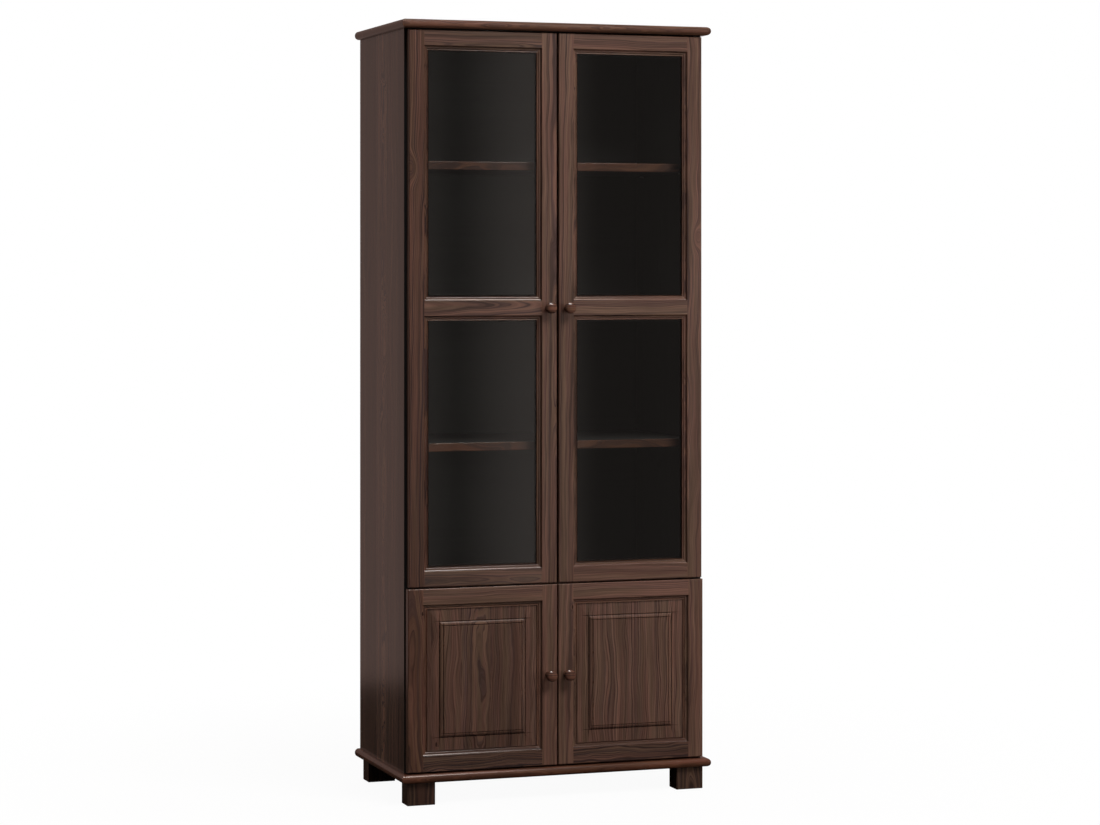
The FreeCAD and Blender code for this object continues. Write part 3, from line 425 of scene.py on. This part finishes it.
# %% [markdown]
# ## The case
# The sides are wide, so they are glued from strips with upright grain. The top, base and shelves run
# level, and the feet are short blocks with upright grain. The three depths below say where the charcoal
# begins: at a side's inner face, at its front edge, where it is a painted shadow of the doors, and
# behind a shelf's front edge.

# %% Timber for the case
FACE_FROM, SHADOW_EDGE_DEPTH, NOSE_DEPTH = 0.0095, 0.0005, 0.002
# The feet's low tones are painted shade: they darken the feet, which stand low in the shade under the
# base.
FOOT_SHADE_TONES = {"front_left": 0.48, "front_right": 0.63, "rear_left": 0.6, "rear_right": 0.6}

for number, (side, inwards) in enumerate((("left_side", 1), ("right_side", -1))):
    low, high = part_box(side)
    timber(side, "upright_side", seed=3.0 + number, strip_width=0.095, heart_depth=0.05,
           ring_width=0.026, figure=2.0, contrast=2.0, inner_face=(0, inwards, 0),
           inner_from=FACE_FROM, edge_from=(high.y - low.y) / 2 - SHADOW_EDGE_DEPTH)
for number, (board, warmth) in enumerate((("top_board", 0.6), ("base_board", 1.0))):
    timber(board, "level_flat", seed=11.0 + number, strip_width=0.11, heart_depth=0.03, lean=0.02,
           contrast=0.7, warmth=warmth)
for number, shelf in enumerate(("fixed_shelf", "lower_shelf", "middle_shelf", "upper_shelf")):
    low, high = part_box(shelf)
    timber(shelf, "level_flat", seed=21.0 + number, strip_width=0.09, heart_depth=0.03, lean=0.02,
           tone=0.58, warmth=1.0, inner_face=(1, 0, 0), inner_from=(low.y - high.y) / 2 + NOSE_DEPTH)
for number, (foot, tone) in enumerate(FOOT_SHADE_TONES.items()):
    timber(foot + "_foot", "upright", seed=31.0 + number, heart_depth=0.05, ring_width=0.005, tone=tone)
print("case sawn")

# %% [markdown]
# ## The doors
# Stiles stand, rails lie level between them and panels stand again. Every board was chosen from the
# picture: the hinge stile on the left is the darkest, and some stiles carry a knot or tall arches.

# %% Timber for the door frames
# Part of the stiles' tones is painted light: the lower doors' stiles are made lighter, to shape how the
# brightness falls down the front.
STILES = {
    "upper_left_hinge_stile": dict(seed=41.0, heart_across=0.03, lean=0.02, tone=0.81, contrast=1.5,
                                   warmth=0.36, knot_across=-0.016, knot_along=0.34, knot_size=0.014,
                                   knot_eye=0.9),
    "upper_left_meeting_stile": dict(seed=42.0, heart_across=0.026, lean=0.008, figure=1.1, tone=1.06),
    "upper_right_meeting_stile": dict(seed=43.0, heart_across=0.03, lean=0.02, tone=0.98),
    "upper_right_hinge_stile": dict(seed=44.0, heart_across=-0.03, lean=-0.01, tone=1.0,
                                    knot_across=0.012, knot_along=0.175, knot_size=0.013, knot_eye=0.9),
    "lower_left_hinge_stile": dict(seed=45.0, heart_across=-0.02, lean=0.03, tone=0.92, warmth=0.42,
                                   knot_across=0.0117, knot_along=0.1615, knot_size=0.004),
    "lower_left_meeting_stile": dict(seed=46.0, heart_across=0.03, lean=0.02, tone=1.12, contrast=0.6),
    "lower_right_meeting_stile": dict(seed=47.0, heart_across=0.02, lean=0.02, tone=1.14, contrast=0.7,
                                      knot_across=0.0118, knot_along=0.164, knot_size=0.004),
    "lower_right_hinge_stile": dict(seed=48.0, heart_across=-0.03, lean=-0.01, tone=1.16, contrast=0.75),
}
for stile, values in STILES.items():
    timber(stile, "upright", heart_depth=0.04, ring_width=0.0044, **values)

# Part of the rails' tones is painted light, shaping how the brightness falls down the front: the upper
# top rails are darker, the lower top rails lighter, and the bottom rails darker towards the floor.
RAILS = {
    "upper_left_top": dict(tone=0.82, figure=0.7, ring_width=0.008, heart_across=0.012),
    "upper_left_middle": dict(tone=1.0, polish=0.06, shine=0.6, figure=0.7, ring_width=0.011,
                              heart_across=-0.01, lean=0.05),
    "upper_left_bottom": dict(tone=1.0, polish=0.06, shine=0.85, figure=0.6, ring_width=0.012,
                              heart_across=0.012, lean=0.02),
    "upper_right_top": dict(tone=0.96, ring_width=0.004, heart_across=0.06),
    "upper_right_middle": dict(tone=1.22, ring_width=0.004, heart_across=0.05),
    "upper_right_bottom": dict(tone=1.16, ring_width=0.004, heart_across=0.06),
    "lower_left_top": dict(tone=1.28, ring_width=0.004, heart_across=0.05),
    "lower_right_top": dict(tone=1.4, ring_width=0.004, heart_across=0.05),
    "lower_left_bottom": dict(tone=0.82, polish=0.08, shine=0.95, ring_width=0.006,
                              heart_across=0.05, figure=2.5, contrast=1.6),
    "lower_right_bottom": dict(tone=0.84, ring_width=0.006, heart_across=0.05, figure=2.5,
                               contrast=1.6),
}
for number, (rail, values) in enumerate(RAILS.items()):
    timber(rail + "_rail", "level", seed=61.0 + number, heart_depth=0.03, **values)
print(len(STILES), "stiles and", len(RAILS), "rails sawn")

# %% Timber for the panels and knobs
timber("lower_left_panel", "upright", seed=81.0, strip_width=0.075, strip_shift=-0.018, heart_depth=0.04,
       ring_width=0.0042, lean=0.008, figure=1.5, tone=0.92, polish=-0.1, shine=0.2,
       knot_across=-0.117, knot_along=-0.157, knot_size=0.0045)
timber("lower_right_panel", "upright", seed=82.0, heart_across=0.2, heart_depth=0.05, ring_width=0.0055,
       lean=0.01, figure=1.4, tone=1.1, polish=-0.1, shine=0.2)
for number, door in enumerate(("upper_left", "upper_right", "lower_left", "lower_right")):
    timber(door + "_knob", "level", seed=91.0 + number, heart_across=0.05, heart_depth=0.02,
           ring_width=0.0055, figure=0.4, tone=1.05, warmth=0.5, contrast=1.6, polish=0.12)
# The glazing beads are near black: a painted shadow strip beside each pane.
for door in ("upper_left", "upper_right"):
    timber(door + "_glazing_beads", "upright", seed=97.0, tone=0.06)
print("panels, knobs and beads sawn")

# %% [markdown]
# ## The back
# The back is a thin board, stained nearly black. Its grain runs level and hardly shows.

# %% Charcoal back board
back = bpy.data.materials.new("charcoal_back")
back.use_nodes = True
tree = back.node_tree
shader = tree.nodes["Principled BSDF"]
spot = board_place(tree, "back_panel", "level")
grain = stretched_noise(tree, spot, (160.0, 160.0, 2.0), 3.0)
patch = stretched_noise(tree, spot, (5.0, 5.0, 1.5))
mixed = sums(tree, "MULTIPLY_ADD", patch, 0.5, sums(tree, "MULTIPLY", grain, 0.5))
feed(tree, shader.inputs["Base Color"],
     blend(tree, band(tree, mixed, 0.3, 0.7), (0.013, 0.0128, 0.012, 1), (0.023, 0.0226, 0.021, 1)))
feed(tree, shader.inputs["Roughness"], sums(tree, "MULTIPLY_ADD", grain, 0.2, 0.5))
bump = add(tree, "ShaderNodeBump")
bump.inputs["Strength"].default_value = 0.2
bump.inputs["Distance"].default_value = 0.0003
feed(tree, bump.inputs["Height"], grain)
feed(tree, shader.inputs["Normal"], bump.outputs[0])
dress("back_panel", back)
print("back stained")

# %% [markdown]
# ## Glass
# Each pane is float glass 4 mm thick. Real glass shows two things at once: what lies behind it and
# a faint mirror image. A glass shader that bends light would keep the lamps out of the case, so a
# clear shader is mixed with a mirror. Glass mirrors a twenty-fifth of the light head on and all of
# it at a grazing angle, and the fifth power of how far it turns away follows that closely.

# %% Window glass
HEAD_ON = 0.04

glass = bpy.data.materials.new("window_glass")
glass.use_nodes = True
tree = glass.node_tree
tree.nodes.remove(tree.nodes["Principled BSDF"])
spot = add(tree, "ShaderNodeTexCoord").outputs["Object"]
smear = stretched_noise(tree, spot, (6.0, 6.0, 2.5), 3.0)
clear = add(tree, "ShaderNodeBsdfTransparent")
feed(tree, clear.inputs["Color"],
     blend(tree, smear, (0.920, 0.935, 0.930, 1), (0.935, 0.945, 0.940, 1)))
mirror = add(tree, "ShaderNodeBsdfGlossy")
mirror.inputs["Roughness"].default_value = 0.015
facing = add(tree, "ShaderNodeLayerWeight").outputs["Facing"]
mirrored = sums(tree, "MULTIPLY_ADD", sums(tree, "POWER", facing, 5.0), 1.0 - HEAD_ON, HEAD_ON)
pane_mix = add(tree, "ShaderNodeMixShader")
feed(tree, pane_mix.inputs[0], mirrored)
feed(tree, pane_mix.inputs[1], clear.outputs[0])
feed(tree, pane_mix.inputs[2], mirror.outputs[0])
feed(tree, tree.nodes["Material Output"].inputs["Surface"], pane_mix.outputs[0])
for side in ("left", "right"):
    for level in ("upper", "lower"):
        dress(f"upper_{side}_{level}_pane", glass)
print("4 panes glazed")

# %% [markdown]
# ## Metal and dowels
# The hinges are nickel plated, the screws are zinc plated, the shelf pins are steel gone dull, and
# the dowels are bare beech. Plating is never even: a fine noise varies its gloss and a slow one
# its colour.

# %% Plated metal
def plated(name, dark, pale, rough):
    material = bpy.data.materials.new(name)
    material.use_nodes = True
    tree = material.node_tree
    shader = tree.nodes["Principled BSDF"]
    spot = add(tree, "ShaderNodeTexCoord").outputs["Object"]
    slow = stretched_noise(tree, spot, (60.0, 60.0, 60.0), 3.0)
    fine = stretched_noise(tree, spot, (2500.0, 2500.0, 400.0), 2.0)
    shader.inputs["Metallic"].default_value = 1.0
    feed(tree, shader.inputs["Base Color"], blend(tree, band(tree, slow, 0.3, 0.7), dark, pale))
    feed(tree, shader.inputs["Roughness"], sums(tree, "MULTIPLY_ADD", fine, 0.15, rough))
    bump = add(tree, "ShaderNodeBump")
    bump.inputs["Strength"].default_value = 0.1
    bump.inputs["Distance"].default_value = 0.0001
    feed(tree, bump.inputs["Height"], fine)
    feed(tree, shader.inputs["Normal"], bump.outputs[0])
    return material


nickel = plated("nickel_plate", (0.52, 0.49, 0.45, 1), (0.66, 0.63, 0.59, 1), 0.22)
zinc = plated("zinc_plate", (0.50, 0.51, 0.52, 1), (0.64, 0.64, 0.63, 1), 0.34)
for door in ("upper_left", "upper_right", "lower_left", "lower_right"):
    dress(door + "_hinge_cups", nickel)
    dress(door + "_knob_screw", zinc)
for fitting in ("hinge_arms", "hinge_plates", "hinge_pins"):
    dress(fitting, nickel)
dress("hinge_plate_screws", zinc)
dress("shelf_pins", plated("dull_steel", (0.17, 0.165, 0.16, 1), (0.25, 0.245, 0.24, 1), 0.45))
print("metal plated")

# %% Bare beech dowels
beech = bpy.data.materials.new("bare_beech")
beech.use_nodes = True
tree = beech.node_tree
shader = tree.nodes["Principled BSDF"]
spot = add(tree, "ShaderNodeTexCoord").outputs["Object"]
fleck = stretched_noise(tree, spot, (90.0, 900.0, 900.0), 2.0)
feed(tree, shader.inputs["Base Color"],
     blend(tree, band(tree, fleck, 0.3, 0.7), (0.50, 0.34, 0.20, 1), (0.60, 0.43, 0.27, 1)))
feed(tree, shader.inputs["Roughness"], sums(tree, "MULTIPLY_ADD", fleck, 0.2, 0.5))
dress("dowels", beech)
print("dowels turned")

# %% [markdown]
# ## Nails
# A thin back is nailed to the back edges of the sides and of the fixed shelf, about a hand apart.
# Only the heads show: shallow domes pressed into the board.

# %% Nail heads on the back
back_low, back_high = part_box("back_panel")
shelf_low, shelf_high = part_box("fixed_shelf")
HEAD_RADIUS = 0.0025
PROUD = 0.0006
SIDE_NAILS, SHELF_NAILS = 13, 5
FROM_END, FROM_EDGE, SHELF_PITCH = 0.04, 0.005, 0.14

places = []
side_pitch = (back_high.z - back_low.z - 2 * FROM_END) / (SIDE_NAILS - 1)
for number in range(SIDE_NAILS):
    z = back_low.z + FROM_END + number * side_pitch
    places += [(back_low.x + FROM_EDGE, z), (back_high.x - FROM_EDGE, z)]
for number in range(SHELF_NAILS):
    x = (number - SHELF_NAILS // 2) * SHELF_PITCH
    places.append((x, (shelf_low.z + shelf_high.z) / 2))

heads = bmesh.new()
for x, z in places:
    made = bmesh.ops.create_uvsphere(heads, u_segments=16, v_segments=8, radius=HEAD_RADIUS)["verts"]
    bmesh.ops.scale(heads, verts=made, vec=(1.0, PROUD / HEAD_RADIUS, 1.0))
    bmesh.ops.translate(heads, verts=made, vec=(x, back_high.y, z))
for face in heads.faces:
    face.smooth = True
head_mesh = bpy.data.meshes.new("nail_heads")
heads.to_mesh(head_mesh)
heads.free()
head_mesh.materials.append(zinc)
nail_heads = bpy.data.objects.new("nail_heads", head_mesh)
bpy.context.scene.collection.objects.link(nail_heads)
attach(nail_heads, "carcass")
print(len(places), "nail heads")

# %% [markdown]
# ## The studio
# The floor is a pale sheet that runs out of sight. To the camera it is white with a soft shadow;
# to everything else it is a darker floor, because a white one would light the case from below,
# which the picture doesn't show. The Light Path node tells the two apart.

# %% Floor
FLOOR_REACH = 30.0

sheet = bmesh.new()
bmesh.ops.create_grid(sheet, x_segments=1, y_segments=1, size=FLOOR_REACH)
floor_mesh = bpy.data.meshes.new("studio_floor")
sheet.to_mesh(floor_mesh)
sheet.free()
floor = bpy.data.objects.new("studio_floor", floor_mesh)
bpy.context.scene.collection.objects.link(floor)

paper = bpy.data.materials.new("studio_floor")
paper.use_nodes = True
tree = paper.node_tree
shader = tree.nodes["Principled BSDF"]
path = add(tree, "ShaderNodeLightPath").outputs
shader.inputs["Roughness"].default_value = 0.9
shader.inputs["Specular IOR Level"].default_value = 0.0
feed(tree, shader.inputs["Base Color"],
     blend(tree, path["Is Camera Ray"], (0.04, 0.035, 0.03, 1), (0.9, 0.9, 0.9, 1)))
white = add(tree, "ShaderNodeEmission")
away = add(tree, "ShaderNodeVectorMath", operation="LENGTH")
feed(tree, away.inputs[0], add(tree, "ShaderNodeTexCoord").outputs["Object"])
glow = band(tree, away.outputs["Value"], 0.4, 2.0, 0.95, 1.0)
both = add(tree, "ShaderNodeMixShader")
feed(tree, both.inputs[0], sums(tree, "MULTIPLY", path["Is Camera Ray"], glow))
feed(tree, both.inputs[1], shader.outputs[0])
feed(tree, both.inputs[2], white.outputs[0])
feed(tree, tree.nodes["Material Output"].inputs["Surface"], both.outputs[0])
floor_mesh.materials.append(paper)
print("floor laid")

# %% [markdown]
# The camera sees a white room. What lights the case is softer: brightest overhead, about half as
# bright at the back, less at the sides and nearly dark behind the camera, so the panes stay deep.

# %% World
world = bpy.data.worlds.new("studio_room")
bpy.context.scene.world = world
world.use_nodes = True
tree = world.node_tree
direction = add(tree, "ShaderNodeSeparateXYZ")
feed(tree, direction.inputs[0], add(tree, "ShaderNodeTexCoord").outputs["Generated"])
overhead = band(tree, direction.outputs["Z"], 0.1, 0.9, 0.0, 0.25)
behind = band(tree, direction.outputs["Y"], -0.5, 0.5, 0.03, 0.20)
room = sums(tree, "ADD", overhead, behind)
path = add(tree, "ShaderNodeLightPath").outputs
seen = sums(tree, "MAXIMUM", path["Is Camera Ray"], path["Is Transmission Ray"])
unseen = sums(tree, "SUBTRACT", 1.0, seen)
strength = sums(tree, "ADD", sums(tree, "MULTIPLY", room, unseen), seen)
feed(tree, tree.nodes["Background"].inputs["Strength"], strength)
feed(tree, tree.nodes["Background"].inputs["Color"],
     blend(tree, seen, (1.0, 0.86, 0.80, 1), (1, 1, 1, 1)))
print("room lit")

# %% [markdown]
# Four soft boxes do the rest. A broad one hangs high in front and a little to the right, so whatever
# looks down or to the left stays dark: the undersides of the rails and the gap between the doors.
# One stands level on the right, and throws the shadow beside each knob. A weak one fills in from the
# left, and one behind the case keeps its back and right side from going black in other views. No
# lacquered edge in the picture mirrors any of them, so they are hidden from mirror rays.

# %% Soft boxes
def soft_box(name, place, aim, size, watts):
    lamp = bpy.data.lights.new(name, "AREA")
    lamp.shape = "RECTANGLE"
    lamp.size, lamp.size_y = size
    lamp.energy = watts
    box = bpy.data.objects.new(name, lamp)
    box.location = place
    box.rotation_euler = (Vector(aim) - Vector(place)).to_track_quat("-Z", "Y").to_euler()
    box.visible_camera = box.visible_glossy = False
    bpy.context.scene.collection.objects.link(box)


soft_box("front_box", (1.2, -3.2, 4.2), (0.0, 0.0, 1.1), (2.6, 1.8), 174)
soft_box("right_box", (2.6, -3.6, 1.1), (0.0, 0.0, 1.1), (1.2, 1.2), 52)
soft_box("left_box", (-2.6, 1.2, 0.8), (-0.4, 0.1, 0.7), (1.0, 1.4), 12)
soft_box("back_box", (1.6, 4.2, 2.4), (0.1, 0.2, 1.0), (2.5, 2.0), 70)
print("4 soft boxes")

# %% [markdown]
# Lacquer and glass mirror what stands round them, so five cards stand in the studio. Only mirror
# rays see them: they light nothing, and the camera looks through them. The left side, seen at a
# flat angle, mirrors a dim warm wall behind the case. The panes mirror a dim upright opening in
# front, which shows as a grey sheen that grows towards the left meeting stile. A bright card lies
# level, high in front of the case: it makes the thin bright lines on the left rails and fades to the
# right as those lines do. A dim flag keeps it off the top's nose. Another bright card, far
# overhead, is mirrored by nothing but the round knobs, as the white dot on each.

# %% Cards that only mirror rays see
def mirror_card(name, corner, across, up, colour):
    corner, across, up = Vector(corner), Vector(across), Vector(up)
    corners = (corner, corner + across, corner + across + up, corner + up)
    sheet = bmesh.new()
    sheet.faces.new([sheet.verts.new(place) for place in corners])
    mesh = bpy.data.meshes.new(name)
    sheet.to_mesh(mesh)
    sheet.free()
    card = bpy.data.objects.new(name, mesh)
    bpy.context.scene.collection.objects.link(card)
    card.visible_camera = card.visible_diffuse = False
    card.visible_shadow = card.visible_transmission = False
    material = bpy.data.materials.new(name)
    material.use_nodes = True
    tree = material.node_tree
    tree.nodes.remove(tree.nodes["Principled BSDF"])
    shine = add(tree, "ShaderNodeEmission")
    shine.inputs["Color"].default_value = colour
    feed(tree, tree.nodes["Material Output"].inputs["Surface"], shine.outputs[0])
    mesh.materials.append(material)
    return tree, shine.inputs["Strength"]


def across_card(tree):
    spot = add(tree, "ShaderNodeSeparateXYZ")
    feed(tree, spot.inputs[0], add(tree, "ShaderNodeTexCoord").outputs["Object"])
    return spot.outputs["X"]


mirror_card("warm_wall", (-4.0, 1.8, 0.01), (6.0, 0.0, 0.0), (0.0, 0.0, 6.0), (0.232, 0.162, 0.145, 1))
mirror_card("dim_flag", (-0.6, -0.3, 1.905), (1.2, 0.0, 0.0), (0.0, 0.0, 0.3), (0.10, 0.085, 0.08, 1))

tree, strength = mirror_card("high_card", (0.0, -1.2, 2.3), (0.8, 0.0, 0.0), (0.0, 0.6, 0.0),
                             (1.0, 0.93, 0.88, 1))
feed(tree, strength, band(tree, across_card(tree), 0.3, 0.75, 15.0, 0.0))

tree, strength = mirror_card("glint_card", (-1.4, -1.5, 5.0), (1.7, 0.0, 0.0), (0.0, 1.5, 0.0),
                             (1, 1, 1, 1))
strength.default_value = 22.0

tree, strength = mirror_card("dim_opening", (0.3, -4.5, 0.01), (2.0, 0.0, 0.0), (0.0, 0.0, 4.0),
                             (1.0, 0.87, 0.81, 1))
x = across_card(tree)
left_end = band(tree, x, 0.9, 1.1, 0.30, 0.13)
rise, fall = band(tree, x, 1.05, 1.42, 0.0, 0.35), band(tree, x, 1.42, 1.70, 1.0, 0.0)
middle = sums(tree, "MULTIPLY", rise, fall)
right_end = sums(tree, "ADD", band(tree, x, 1.4, 1.75, 0.0, 0.02), band(tree, x, 1.8, 2.05, 0.0, 0.01))
feed(tree, strength, sums(tree, "ADD", sums(tree, "ADD", left_end, middle), right_end))
print("5 cards stand")
